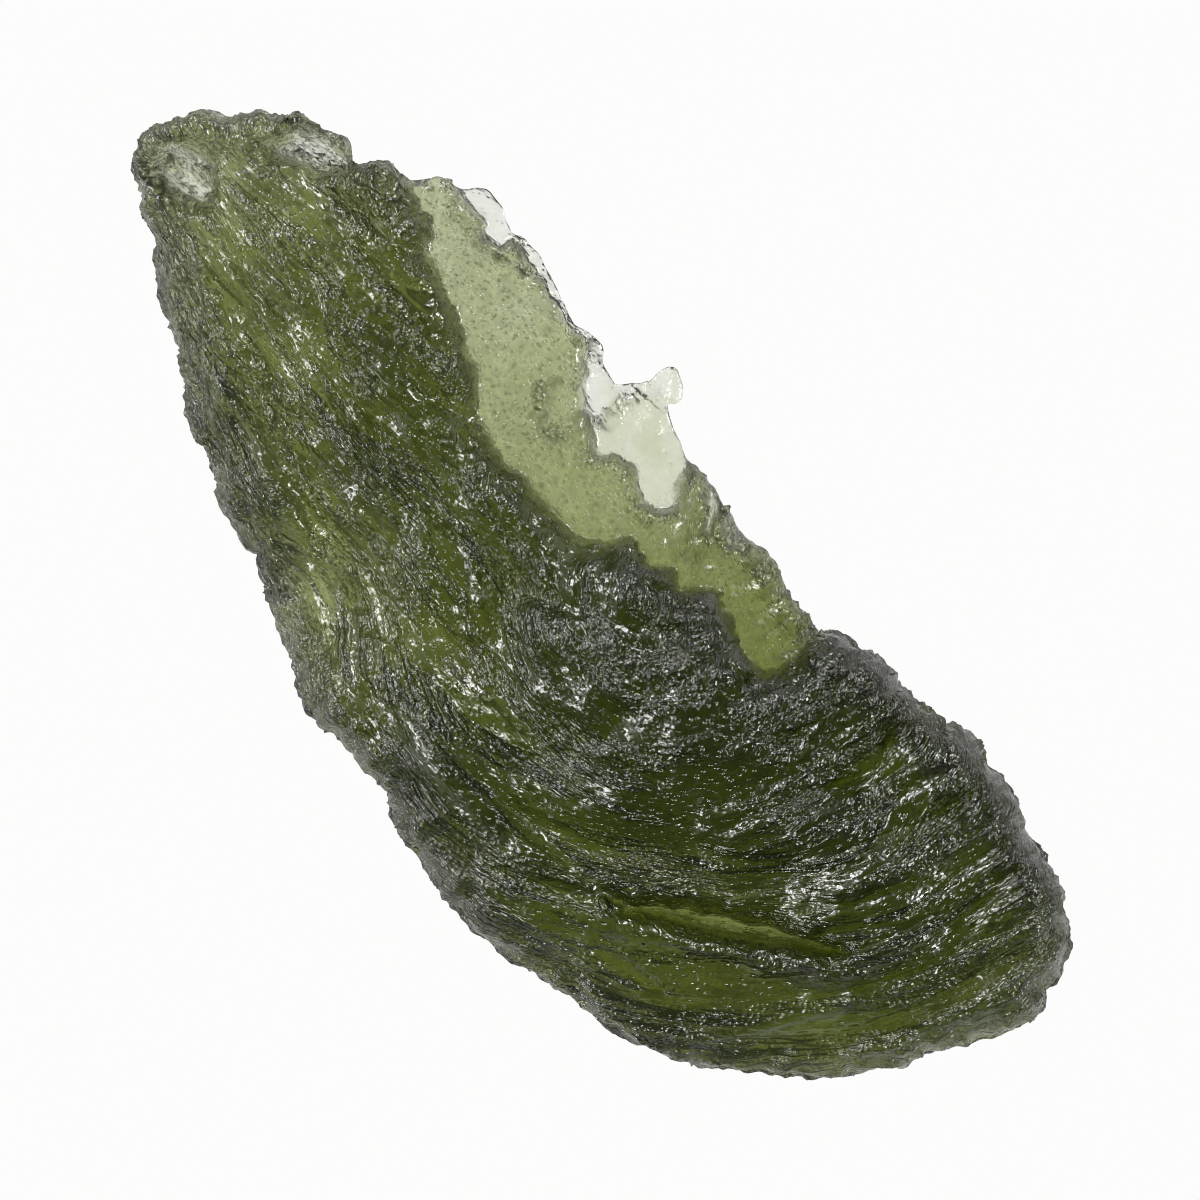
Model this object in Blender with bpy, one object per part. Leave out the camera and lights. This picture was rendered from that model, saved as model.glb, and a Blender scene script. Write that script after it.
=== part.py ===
"""A long curved shard of moldavite, a natural green glass, lying on its convex face.

The stone lies along X with its thin pointed end at -X and its broad end at +X.
A thick body fills the lower side. Along the upper side it is broken off in a
cliff, and a thin translucent flange is left standing out at the foot of it.
Lengths in the tables are in millimetres and are turned into metres at the end.
"""

import math

import bmesh
import bpy
import numpy as np
from mathutils import Vector, noise

MM = 0.001

# Driving dimensions, millimetres
BISCUIT_HEIGHT = 2.4
GRID_STEP = 0.3
TRIANGLES = 9300
CLIFF_WIDTH = 0.4
BROW_WIDTH = 1.3
BROW_DROP = 0.3
LEAST_THICKNESS = 0.34

# The underside is a shallow bowl that rests on a small flat spot
BOWL_CENTRE = (2.6, -1.0)
BOWL_REACH = (22.0, 9.6)
BOWL_RISE = (3.2, 2.3)
FLAT_DEPTH = 0.2

# The outline seen from above, in stretches that follow each other clockwise
LEFT_END = [
    (-22.4, 2.5), (-22.1, 3.0), (-21.7, 3.9), (-21.5, 4.3), (-21.0, 4.7), (-20.3, 5.0),
    (-19.95, 5.8), (-19.3, 6.1), (-18.8, 6.8), (-18.2, 7.0), (-17.0, 7.2), (-16.2, 7.0),
    (-15.6, 7.4), (-15.2, 7.8), (-14.7, 7.6), (-14.2, 8.0),
]
FLANGE_EDGE = [
    (-13.8, 8.6), (-13.4, 8.85), (-12.8, 9.0), (-12.55, 9.4), (-12.2, 9.7), (-11.4, 9.55),
    (-10.5, 9.15), (-10.0, 9.35), (-9.2, 9.25), (-8.3, 8.95), (-7.3, 8.6), (-6.6, 8.35),
    (-6.0, 8.55), (-5.3, 8.5), (-4.9, 8.05), (-4.3, 7.9), (-4.0, 7.8), (-3.6, 8.3),
    (-3.2, 8.75), (-3.2, 9.3), (-3.05, 9.7), (-2.8, 9.75), (-2.3, 9.5), (-1.9, 9.1),
    (-2.0, 8.85), (-2.3, 8.65), (-1.8, 8.3), (-1.1, 7.95), (-0.3, 7.6), (0.5, 7.65),
    (1.3, 7.6), (2.4, 7.2), (3.5, 7.05), (4.6, 7.0), (5.6, 6.6), (6.9, 6.4), (7.5, 6.2),
]
BROAD_END = [
    (7.8, 6.6), (8.4, 6.9), (9.0, 6.8), (9.5, 7.15), (10.1, 7.1), (10.7, 6.85),
    (11.2, 7.0), (13.0, 7.05), (13.6, 7.35), (14.2, 7.45), (15.1, 7.1), (16.7, 6.95),
    (17.0, 6.6), (17.6, 6.3), (18.4, 6.25), (20.1, 5.7), (20.8, 5.1), (21.6, 4.45),
    (21.95, 3.6), (22.0, 2.8), (22.35, 2.5), (22.45, 1.8), (21.9, 0.5), (21.2, -0.7),
    (20.6, -1.7), (20.35, -2.7), (19.6, -3.4), (18.9, -4.4),
]
LOWER_EDGE = [
    (18.1, -5.2), (17.2, -6.0), (16.2, -6.8), (15.2, -7.55), (14.2, -8.1), (13.0, -8.6),
    (11.8, -8.8), (10.2, -9.0), (8.5, -9.3), (7.2, -9.55), (5.8, -9.65), (4.0, -9.55),
    (3.0, -9.25), (1.8, -9.1), (1.0, -8.6), (0.4, -8.1), (-0.2, -8.05), (-0.9, -8.25),
    (-2.3, -8.05), (-3.3, -8.15), (-4.6, -7.85), (-5.3, -7.4), (-6.5, -6.95),
    (-7.6, -6.4), (-8.3, -5.9), (-9.0, -5.45), (-9.5, -5.55), (-10.9, -5.15),
    (-12.0, -4.5), (-13.0, -4.05), (-13.7, -3.9), (-14.6, -3.3), (-15.4, -2.6),
    (-16.2, -2.0), (-17.5, -1.4), (-18.4, -0.8), (-19.3, 0.0), (-20.3, 0.5),
    (-21.3, 1.2), (-22.1, 1.85),
]

# The foot of the cliff, from its left end to its right end
CLIFF_FOOT = [
    (-14.2, 7.7), (-13.5, 7.3), (-12.95, 7.45), (-12.4, 7.0), (-12.1, 6.5), (-11.1, 6.1),
    (-10.3, 5.85), (-9.5, 5.35), (-8.7, 5.0), (-7.9, 4.6), (-7.3, 4.0), (-6.6, 3.4),
    (-5.6, 3.1), (-4.9, 2.9), (-4.1, 3.2), (-3.2, 3.0), (-2.0, 2.8), (-1.0, 3.0),
    (-0.3, 3.5), (0.2, 4.25), (1.1, 4.1), (1.7, 4.1), (2.1, 4.4), (2.7, 4.1),
    (3.3, 4.5), (3.8, 5.1), (4.3, 4.8), (5.1, 4.4), (6.0, 4.05), (6.9, 4.05),
    (7.4, 4.5), (7.55, 5.3), (7.5, 6.2),
]
BEYOND_THE_FLANGE = [(7.5, 12.0), (-15.5, 12.0), (-15.0, 8.2)]

# Thickness of the body and of the flange: (x, y, thickness)
BODY_SPOTS = [
    (-21.6, 3.6, 1.7), (-20.2, 2.5, 0.9), (-20.4, 4.3, 2.4), (-19.4, 1.0, 2.2),
    (-18.4, 3.0, 3.3), (-17.9, 5.8, 2.0), (-16.0, 4.6, 3.3), (-16.6, 1.4, 3.3),
    (-13.4, 1.8, 3.8), (-13.6, -1.6, 3.3), (-12.4, 5.0, 4.2), (-9.2, 3.2, 4.7),
    (-10.0, -2.4, 4.0), (-7.0, 0.2, 4.9), (-6.4, -4.9, 3.0), (-3.2, -1.0, 5.3),
    (-2.6, 1.6, 5.6), (-2.2, -5.0, 4.5), (1.0, -4.4, 5.4), (2.5, 0.2, 6.9),
    (4.4, 2.9, 7.1), (6.2, -1.0, 7.4), (5.0, -6.4, 5.2), (10.0, 0.6, 7.5),
    (10.2, 4.4, 7.0), (9.6, -4.4, 5.6), (10.0, -6.8, 5.4), (13.2, -2.6, 5.5),
    (14.2, 2.2, 6.8), (13.6, 5.8, 6.4), (14.4, -6.0, 4.8), (17.0, 4.2, 6.2),
    (17.4, -0.4, 6.2), (16.8, -4.0, 5.0), (20.4, 2.0, 4.8), (19.4, -2.0, 4.8),
]
FLANGE_SPOTS = [
    (-13.6, 8.1, 0.9), (-12.0, 7.4, 1.4), (-9.0, 6.6, 1.45), (-8.0, 8.1, 1.1),
    (-6.0, 5.0, 1.75), (-4.9, 6.3, 1.4), (-3.0, 4.2, 2.0), (0.0, 4.9, 2.3),
    (-0.6, 6.6, 1.2), (2.5, 5.2, 2.5), (4.0, 6.6, 2.2), (5.3, 5.3, 2.9),
    (6.8, 4.9, 3.2),
]
SPOT_REACH = 1.8

# Thin chips flaked off the flange: (corners, thickness left)
CHIPS = {
    "clear_chip": (
        [(-13.1, 8.9), (-12.2, 8.55), (-11.5, 8.5), (-11.0, 8.3), (-10.4, 8.5),
         (-10.2, 9.2), (-10.8, 10.2), (-13.5, 10.2)],
        0.34,
    ),
    "edge_strip": (
        [(-10.2, 9.1), (-9.4, 8.75), (-8.4, 8.55), (-7.2, 8.25), (-6.1, 8.1),
         (-5.0, 8.1), (-5.0, 9.8), (-10.2, 9.9)],
        0.42,
    ),
    "pale_window": (
        [(-5.8, 8.1), (-5.1, 7.2), (-4.2, 6.4), (-3.5, 5.9), (-2.8, 5.4), (-2.1, 5.9),
         (-1.3, 5.85), (-0.4, 5.4), (0.3, 5.5), (0.6, 6.2), (0.2, 7.2), (0.0, 8.2),
         (-2.2, 10.4), (-5.2, 9.9)],
        0.85,
    ),
    "white_wedge": (
        [(-5.6, 8.1), (-4.8, 7.1), (-4.0, 6.4), (-3.5, 6.6), (-3.7, 7.4), (-3.3, 8.3),
         (-3.6, 9.0), (-5.4, 8.8)],
        0.45,
    ),
    "hook": ([(-3.5, 8.75), (-2.3, 8.75), (-1.6, 9.0), (-2.0, 10.2), (-3.6, 10.2)], 0.45),
    "right_sliver": ([(0.6, 7.5), (1.5, 6.8), (2.0, 6.0), (2.2, 6.4), (1.7, 8.0), (0.6, 8.0)], 0.6),
    "right_chip": ([(2.0, 7.0), (2.6, 6.6), (3.6, 6.6), (3.8, 7.8), (2.0, 7.9)], 0.8),
}
CHIP_SLOPE = 0.32

# Hollows broken into the body near the pointed end: (corners, thickness left)
SCARS = {
    "tip_window": (
        [(-21.7, 1.9), (-21.6, 3.0), (-20.9, 3.6), (-19.9, 3.5), (-19.2, 3.0), (-18.9, 2.3),
         (-19.3, 1.8), (-20.4, 1.4)],
        1.15,
    ),
    "white_scar": (
        [(-19.0, 5.2), (-18.7, 6.3), (-17.8, 7.2), (-16.5, 7.2), (-16.2, 6.5), (-16.9, 5.9),
         (-17.8, 5.5), (-18.4, 5.0)],
        0.9,
    ),
}
SCAR_SLOPE = 0.7

# How the faces turn down at the rim: (x, y, top share, top width, under share, under width).
# A share is the part of the thickness that the face gives up where it meets the rim.
RIM_STATIONS = [
    (-22.0, 2.4, 0.34, 0.8, 0.26, 0.8), (-18.0, -1.0, 0.52, 1.5, 0.3, 1.3),
    (-14.0, -3.5, 0.54, 1.7, 0.32, 1.5), (-9.0, -5.3, 0.54, 1.7, 0.32, 1.7),
    (-3.0, -7.9, 0.54, 2.2, 0.34, 2.1), (5.0, -9.4, 0.52, 3.0, 0.36, 2.6),
    (12.0, -8.6, 0.50, 3.2, 0.38, 2.8), (17.0, -6.0, 0.50, 3.0, 0.36, 2.6),
    (21.0, -1.0, 0.52, 2.3, 0.34, 2.2), (22.0, 3.0, 0.54, 1.7, 0.32, 1.8),
    (19.0, 5.8, 0.54, 1.5, 0.32, 1.8), (13.0, 7.2, 0.54, 1.7, 0.34, 2.0),
    (9.3, 6.9, 0.54, 1.6, 0.32, 1.8), (6.9, 6.4, 0.40, 0.8, 0.26, 0.9),
    (1.0, 7.6, 0.30, 0.5, 0.20, 0.5), (-4.0, 7.9, 0.22, 0.4, 0.18, 0.4),
    (-11.0, 9.3, 0.22, 0.4, 0.18, 0.4), (-14.4, 7.7, 0.40, 0.7, 0.24, 0.6),
    (-18.2, 6.9, 0.46, 1.0, 0.28, 1.0), (-21.3, 4.5, 0.42, 0.9, 0.28, 0.9),
]
RIM_REACH = 1.7

# Long forms of the upper face: (path, height, half width). A negative height is a hollow.
CREASES = {
    "trough": ([(-2.0, -3.0), (3.0, -2.6), (7.0, -1.4), (10.0, 0.8), (12.2, 3.8)], -0.75, 2.0),
    "lower_ridge": (
        [(0.0, -6.8), (5.0, -6.4), (9.6, -5.2), (12.3, -4.4), (14.4, -3.0), (16.4, -1.2), (17.6, 1.2)],
        0.62, 0.55,
    ),
    "bright_groove": ([(7.6, -5.3), (10.4, -4.3), (13.2, -2.8), (15.6, -1.3)], -0.42, 0.7),
    "upper_groove": ([(-14.0, 1.1), (-9.0, 0.5), (-4.0, 0.0), (0.0, 0.6), (3.4, 2.6)], -0.35, 0.6),
    "left_swell": ([(-17.5, 3.3), (-13.0, 3.6), (-9.6, 2.4), (-6.6, 1.4)], 0.22, 0.8),
    "left_rim": ([(-19.0, 0.9), (-15.0, -1.2), (-10.0, -3.4), (-8.0, -4.1)], 0.3, 0.5),
    "lower_gully": ([(-5.2, -5.9), (-2.4, -6.6), (-0.6, -7.1), (1.6, -7.5), (4.0, -7.7)], -0.4, 0.6),
    "outer_rib": ([(15.4, -6.6), (17.4, -4.2), (18.9, -1.8), (19.9, 1.4)], -0.35, 0.6),
    "fan_rib_a": ([(11.2, -0.6), (13.4, 2.4), (14.2, 5.4)], 0.3, 0.42),
    "fan_rib_b": ([(14.8, 0.4), (16.6, 3.0), (17.2, 5.6)], -0.3, 0.42),
    "fan_rib_c": ([(18.4, -0.6), (19.2, 2.0), (19.2, 5.2)], 0.26, 0.4),
    "tip_step": ([(-19.3, 1.8), (-19.0, 2.8), (-19.2, 4.2)], 0.22, 0.35),
}

# Round forms of the upper face: (x, y, height, half width)
KNOBS = {
    "thumb_knob": (-6.5, -4.9, 0.5, 0.85),
    "knob_cleft": (-5.3, -4.4, -0.45, 0.35),
    "knob_notch": (-7.9, -4.2, -0.4, 0.45),
    "rim_scar": (11.8, 5.6, -0.7, 0.6),
    "left_scar": (-17.8, 6.5, -0.5, 0.6),
    "upper_bay": (-6.2, 1.4, -0.3, 0.8),
    "long_bay": (-6.0, -1.4, -0.25, 1.0),
    "dark_pit": (4.4, -0.7, -0.4, 0.7),
    "cliff_crest_left": (-13.0, 6.6, 0.35, 0.7),
    "cliff_crest_right": (3.7, 3.9, 0.35, 0.8),
    "broad_crest": (14.2, 6.2, 0.35, 0.8),
}

# Shallow dents of the underside: (x, y, depth, half width)
UNDER_DENTS = {
    "under_left": (-12.0, 0.5, 0.45, 2.2),
    "under_right": (14.5, 1.5, 0.5, 2.4),
    "under_rim": (8.5, -6.6, 0.4, 1.6),
    "under_flange": (-6.0, 5.2, 0.3, 1.6),
}

# Melt-flow lines bend round this point on the right and fan out of the tip on the left
FLOW_CENTRE = (0.0, 8.0)
FLOW_TIP_Y = 2.6
FLOW_FAN_LENGTH = 38.0
FLOW_ARC_RADIUS = 9.0

# Ridges along the flow lines: (height, ridges per millimetre across, changes per millimetre along)
UPPER_RIDGES = [(0.6, 0.42, 0.14), (0.45, 0.85, 0.3)]
UNDER_RIDGES = [(0.7, 0.36, 0.1), (0.45, 0.8, 0.25)]
FLANGE_RIPPLE = (0.22, 0.55, 0.4)
RIDGE_CREST = 0.28
RIDGE_BEND = (0.9, 0.13, 0.2)

# Etched bowls over the whole surface and teeth round the rim: height and pitches per millimetre
SCALLOPS = (0.42, 0.9, 0.4)
RIM_TEETH = [(0.9, 0.34), (1.7, 0.2)]


def outline():
    """The closed outline of the stone, seen from above."""
    return np.array(LEFT_END + FLANGE_EDGE + BROAD_END + LOWER_EDGE)


def smooth_step(low, high, value):
    """0 below low, 1 above high and an S-curve between them."""
    t = np.clip((value - low) / (high - low), 0.0, 1.0)
    return t * t * (3.0 - 2.0 * t)


def distance_to_path(points, path, closed=False):
    """The distance from each point to a path of straight runs."""
    ends = np.array(path)
    starts = ends if closed else ends[:-1]
    stops = np.roll(ends, -1, axis=0) if closed else ends[1:]
    nearest = np.full(len(points), np.inf)
    for start, stop in zip(starts, stops):
        run = stop - start
        along = np.clip((points - start) @ run / (run @ run), 0.0, 1.0)
        gap = points - start - along[:, None] * run
        nearest = np.minimum(nearest, np.hypot(gap[:, 0], gap[:, 1]))
    return nearest


def inside(points, corners):
    """True for each point inside the closed shape with these corners."""
    ends = np.array(corners)
    found = np.zeros(len(points), bool)
    x, y = points[:, 0], points[:, 1]
    for (x0, y0), (x1, y1) in zip(ends, np.roll(ends, -1, axis=0)):
        if y0 == y1:
            continue
        crosses = (y0 > y) != (y1 > y)
        found ^= crosses & (x < (x1 - x0) * (y - y0) / (y1 - y0) + x0)
    return found


def depth_inside(points, corners):
    """The distance in from the edge of a closed shape, negative outside it."""
    gap = distance_to_path(points, corners, closed=True)
    return np.where(inside(points, corners), gap, -gap)


def blend_of(points, spots, reach):
    """The values of the spots, each spot counting most near its own place."""
    table = np.array(spots)
    gap = points[:, None, :] - table[None, :, :2]
    weight = np.exp(-(gap**2).sum(axis=2) / (2.0 * reach**2)) + 1e-9
    return (weight @ table[:, 2:]) / weight.sum(axis=1, keepdims=True)


def noise_at(places):
    """Smooth noise from -1 to 1 at each row of three coordinates."""
    return np.array([noise.noise(Vector(place)) for place in places])


def flow_of(points):
    """Each point's place along and across the melt-flow lines, in millimetres."""
    x, y = points[:, 0], points[:, 1]
    drop = FLOW_CENTRE[1] - y
    turned = FLOW_CENTRE[1] - np.hypot(x, drop)
    fanned = FLOW_TIP_Y + (y - FLOW_TIP_Y) / (1.0 + np.minimum(x, 0.0) / FLOW_FAN_LENGTH)
    along = np.where(x > 0.0, np.arctan2(x, drop) * FLOW_ARC_RADIUS, x)
    return along, np.where(x > 0.0, turned, fanned)


def flow_ridges(points, ridges, layer):
    """Rounded hollows with sharp crests between them, drawn out along the flow lines."""
    along, across = flow_of(points)
    size, pitch_along, pitch_across = RIDGE_BEND
    bend = np.column_stack([along * pitch_along, across * pitch_across, np.full(len(points), layer)])
    across = across + size * noise_at(bend)
    height = np.zeros(len(points))
    for size, pitch_across, pitch_along in ridges:
        layer += 9.0
        depth = np.full(len(points), layer)
        places = np.column_stack([along * pitch_along, across * pitch_across, depth])
        height += size * (RIDGE_CREST - np.abs(noise_at(places)))
    return height


def broken_away(points, thick, breaks, slope):
    """The thickness after flakes have broken off it."""
    for corners, left in breaks.values():
        share = smooth_step(-slope / 2, slope / 2, depth_inside(points, corners))
        thick = thick + (left - thick) * share
    return thick


def thickness(points):
    """The thickness of the stone away from its rim."""
    body = blend_of(points, BODY_SPOTS, SPOT_REACH)[:, 0]
    flange = blend_of(points, FLANGE_SPOTS, SPOT_REACH)[:, 0]
    body = broken_away(points, body, SCARS, SCAR_SLOPE)
    flange = broken_away(points, flange, CHIPS, CHIP_SLOPE)
    past_cliff = depth_inside(points, CLIFF_FOOT + BEYOND_THE_FLANGE)
    brow = BROW_DROP * smooth_step(-BROW_WIDTH, 0.1, past_cliff)
    face = (1.0 - BROW_DROP) * smooth_step(-CLIFF_WIDTH, 0.0, past_cliff)
    return body + (flange - body) * (brow + face)


def underside(points):
    """The height of the convex lower face, which dips under zero at the resting spot."""
    gap = (points - BOWL_CENTRE) / BOWL_REACH
    height = gap[:, 0] ** 2 * BOWL_RISE[0] + gap[:, 1] ** 2 * BOWL_RISE[1] - FLAT_DEPTH
    for x, y, depth, reach in UNDER_DENTS.values():
        away = np.hypot(points[:, 0] - x, points[:, 1] - y)
        height += depth * np.exp(-((away / reach) ** 2))
    clear_of_flat = smooth_step(4.5, 8.5, np.hypot(*((points - BOWL_CENTRE) * (0.8, 1.25)).T))
    return height + flow_ridges(points, UNDER_RIDGES, 40.0) * clear_of_flat


def upper_relief(points):
    """Grooves, ridges, knobs and flow ridges of the upper face, in millimetres."""
    relief = np.zeros(len(points))
    for path, height, reach in CREASES.values():
        relief += height * np.exp(-((distance_to_path(points, path) / reach) ** 2))
    for x, y, height, reach in KNOBS.values():
        away = np.hypot(points[:, 0] - x, points[:, 1] - y)
        relief += height * np.exp(-((away / reach) ** 2))
    return relief + flow_ridges(points, UPPER_RIDGES, 0.0)


def quarter_round(share):
    """A quarter of a circle from 0 at the rim to 1 where the face is level."""
    left = 1.0 - np.clip(share, 0.0, 1.0)
    return np.sqrt(1.0 - left * left)


def faces_of(points):
    """The heights of the lower and the upper face over each point."""
    rim = blend_of(points, RIM_STATIONS, RIM_REACH)
    from_rim = np.maximum(depth_inside(points, outline()), 0.0)
    thick = thickness(points)
    low = underside(points)
    top_round = quarter_round(from_rim / rim[:, 1])
    under_round = quarter_round(from_rim / rim[:, 3])
    body_share = smooth_step(1.8, 3.6, thick)
    relief = upper_relief(points) * body_share * smooth_step(-0.4, 1.2, from_rim)
    size, pitch_along, pitch_across = FLANGE_RIPPLE
    ripple = noise_at(np.column_stack([points[:, 0] * pitch_along, points[:, 1] * pitch_across, low * 0.0]))
    relief += size * ripple * (1.0 - body_share) * smooth_step(0.5, 1.4, thick)
    full = np.maximum(thick + relief, LEAST_THICKNESS)
    high = low + full * (1.0 - rim[:, 0] * (1.0 - top_round))
    low = low + full * rim[:, 2] * (1.0 - under_round)
    return low, high


def flat_biscuit():
    """A flat slab of the outline, cut into an even grid of faces."""
    mesh = bpy.data.meshes.new("biscuit")
    shape = bmesh.new()
    rim = [shape.verts.new((x, y, 0.0)) for x, y in outline()]
    floor = shape.faces.new(rim)
    raised = bmesh.ops.extrude_face_region(shape, geom=[floor])
    top = [item for item in raised["geom"] if isinstance(item, bmesh.types.BMVert)]
    bmesh.ops.translate(shape, verts=top, vec=(0.0, 0.0, BISCUIT_HEIGHT))
    bmesh.ops.recalc_face_normals(shape, faces=shape.faces)
    shape.to_mesh(mesh)
    shape.free()
    biscuit = bpy.data.objects.new("biscuit", mesh)
    bpy.context.scene.collection.objects.link(biscuit)
    remesh = biscuit.modifiers.new("even_grid", "REMESH")
    remesh.mode = "VOXEL"
    remesh.voxel_size = GRID_STEP
    return biscuit


def evaluated_mesh(thing, name):
    """A new mesh of the object with its modifiers applied."""
    graph = bpy.context.evaluated_depsgraph_get()
    mesh = bpy.data.meshes.new_from_object(thing.evaluated_get(graph))
    mesh.name = name
    return mesh


def raise_to_faces(mesh):
    """Moves each point of the biscuit to its share of the way between the two faces."""
    places = np.empty(len(mesh.vertices) * 3)
    mesh.vertices.foreach_get("co", places)
    places = places.reshape(-1, 3)
    share = np.clip(places[:, 2] / BISCUIT_HEIGHT, 0.0, 1.0)
    low, high = faces_of(places[:, :2])
    places[:, 2] = low + (high - low) * share
    mesh.vertices.foreach_set("co", places.ravel())
    mesh.update()


def etch(mesh):
    """Presses shallow bowls into the whole surface and teeth into the rim."""
    places = np.empty(len(mesh.vertices) * 3)
    facing = np.empty(len(mesh.vertices) * 3)
    mesh.vertices.foreach_get("co", places)
    mesh.vertices.foreach_get("normal", facing)
    places = places.reshape(-1, 3)
    facing = facing.reshape(-1, 3)
    points = places[:, :2]
    along, across = flow_of(points)
    size, pitch_across, pitch_along = SCALLOPS
    cells = np.column_stack([along * pitch_along, across * pitch_across, places[:, 2] * pitch_across])
    seeds = np.array([noise.voronoi(Vector(place))[0][:2] for place in cells])
    crest = np.minimum(seeds[:, 1] - seeds[:, 0], 0.3)
    thick = thickness(points)
    depth = size * (seeds[:, 0] - 0.35 - 0.25 * crest) * (0.3 + 0.7 * smooth_step(1.2, 3.6, thick))
    near_rim = 1.0 - smooth_step(0.3, 1.6, depth_inside(points, outline()))
    for pitch, height in RIM_TEETH:
        depth += near_rim * height * (0.3 - np.abs(noise_at(places * pitch))) * smooth_step(0.0, 1.2, thick)
    depth *= smooth_step(0.1, 0.8, places[:, 2])
    mesh.vertices.foreach_set("co", (places + facing * depth[:, None]).ravel())
    mesh.update()


def thin_out(thing):
    """Leaves the faces that the shape needs, fewer where it is smooth."""
    decimate = thing.modifiers.new("fewer_faces", "DECIMATE")
    decimate.ratio = TRIANGLES / (2.0 * len(thing.data.polygons))
    return evaluated_mesh(thing, "thinned")


def grind_resting_spot(mesh):
    """Cuts the stone off level at zero, which leaves the flat spot that it rests on."""
    shape = bmesh.new()
    shape.from_mesh(mesh)
    everything = shape.verts[:] + shape.edges[:] + shape.faces[:]
    cut = bmesh.ops.bisect_plane(
        shape, geom=everything, plane_co=(0, 0, 0), plane_no=(0, 0, 1), clear_inner=True
    )
    rim = [item for item in cut["geom_cut"] if isinstance(item, bmesh.types.BMEdge)]
    bmesh.ops.contextual_create(shape, geom=rim)
    bmesh.ops.remove_doubles(shape, verts=shape.verts, dist=0.01)
    bmesh.ops.recalc_face_normals(shape, faces=shape.faces)
    shape.to_mesh(mesh)
    shape.free()


def mesh_corner(mesh, pick):
    """The lowest or the highest value of each coordinate in the mesh."""
    return [pick(vertex.co[axis] for vertex in mesh.vertices) for axis in range(3)]


def moldavite_glass():
    """Bottle-green natural glass with an etched, half matt surface."""
    glass = bpy.data.materials.new("moldavite_glass")
    glass.use_nodes = True
    shader = glass.node_tree.nodes["Principled BSDF"]
    shader.inputs["Base Color"].default_value = (0.12, 0.15, 0.04, 1.0)
    shader.inputs["Roughness"].default_value = 0.3
    shader.inputs["Metallic"].default_value = 0.0
    shader.inputs["IOR"].default_value = 1.49
    return glass


def build():
    """Makes the stone, its one and only piece."""
    for thing in list(bpy.data.objects):
        bpy.data.objects.remove(thing)
    biscuit = flat_biscuit()
    biscuit.data = evaluated_mesh(biscuit, "gridded")
    biscuit.modifiers.clear()
    raise_to_faces(biscuit.data)
    etch(biscuit.data)
    mesh = thin_out(biscuit)
    bpy.data.objects.remove(biscuit)
    grind_resting_spot(mesh)
    middle = 0.5 * (Vector(mesh_corner(mesh, min)) + Vector(mesh_corner(mesh, max)))
    for vertex in mesh.vertices:
        vertex.co.x -= middle.x
        vertex.co.y -= middle.y
        vertex.co *= MM
    mesh.name = "moldavite"
    mesh.materials.append(moldavite_glass())
    stone = bpy.data.objects.new("moldavite", mesh)
    bpy.context.scene.collection.objects.link(stone)
    mesh.set_sharp_from_angle(angle=math.radians(60.0))


build()
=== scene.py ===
"""A curved shard of moldavite, natural bottle-green glass, on a light table.

The stone lies along X with its pointed end at -X and its broad end at +X. A thick
dark body fills the lower side, and a thin pale flange stands out along the upper
side at the foot of a broken cliff. Melt-flow grooves run over the whole surface.
Tables and sizes of the stone are in millimetres, everything placed is in metres.
"""

from __future__ import annotations

import logging
import math
from collections.abc import Sequence
from dataclasses import dataclass, field
from enum import Enum

import bmesh
import bpy
import numpy as np
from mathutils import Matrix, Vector, noise

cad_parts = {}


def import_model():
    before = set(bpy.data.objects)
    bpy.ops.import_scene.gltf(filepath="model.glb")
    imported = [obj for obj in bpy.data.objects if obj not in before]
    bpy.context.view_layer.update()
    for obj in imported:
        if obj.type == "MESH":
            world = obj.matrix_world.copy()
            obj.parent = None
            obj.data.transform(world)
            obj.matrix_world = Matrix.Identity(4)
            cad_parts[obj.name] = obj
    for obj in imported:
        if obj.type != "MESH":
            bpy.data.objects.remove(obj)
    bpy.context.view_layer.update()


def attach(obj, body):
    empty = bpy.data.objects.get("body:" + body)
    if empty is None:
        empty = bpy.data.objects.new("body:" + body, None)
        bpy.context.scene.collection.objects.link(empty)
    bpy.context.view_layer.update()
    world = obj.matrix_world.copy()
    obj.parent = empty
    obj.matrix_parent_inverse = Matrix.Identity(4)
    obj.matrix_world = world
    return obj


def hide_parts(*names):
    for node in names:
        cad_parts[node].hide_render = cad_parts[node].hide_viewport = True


LOG = logging.getLogger("moldavite")
MM = 0.001
LEAST_WEIGHT = 1e-9

Point = tuple[float, float]
Span = tuple[float, float]
Spot = tuple[float, ...]
Path = Sequence[Point]
Drift = tuple[float, Point, float]
Array = np.ndarray
Colour = tuple[float, ...]
Socket = bpy.types.NodeSocket


# Plane shapes and patterns


def smooth_step(low: float, high: float, value: Array) -> Array:
    """S-curve that leaves 0 at the low value and reaches 1 at the high one, also where low is the larger."""
    t = np.clip((value - low) / (high - low), 0.0, 1.0)
    return t * t * (3.0 - 2.0 * t)


def distance_to_path(points: Array, path: Path, closed: bool = False) -> Array:
    """Distance from points to a path of straight runs.

    Args:
        points: Rows of x and y in millimetres.
        path: The corners of the path.
        closed: Whether the last corner joins the first.

    Returns:
        The distance of each point in millimetres.
    """
    ends = np.array(path)
    starts = ends if closed else ends[:-1]
    stops = np.roll(ends, -1, axis=0) if closed else ends[1:]
    nearest = np.full(len(points), np.inf)
    for start, stop in zip(starts, stops):
        run = stop - start
        along = np.clip((points - start) @ run / (run @ run), 0.0, 1.0)
        gap = points - start - along[:, None] * run
        nearest = np.minimum(nearest, np.hypot(gap[:, 0], gap[:, 1]))
    return nearest


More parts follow.
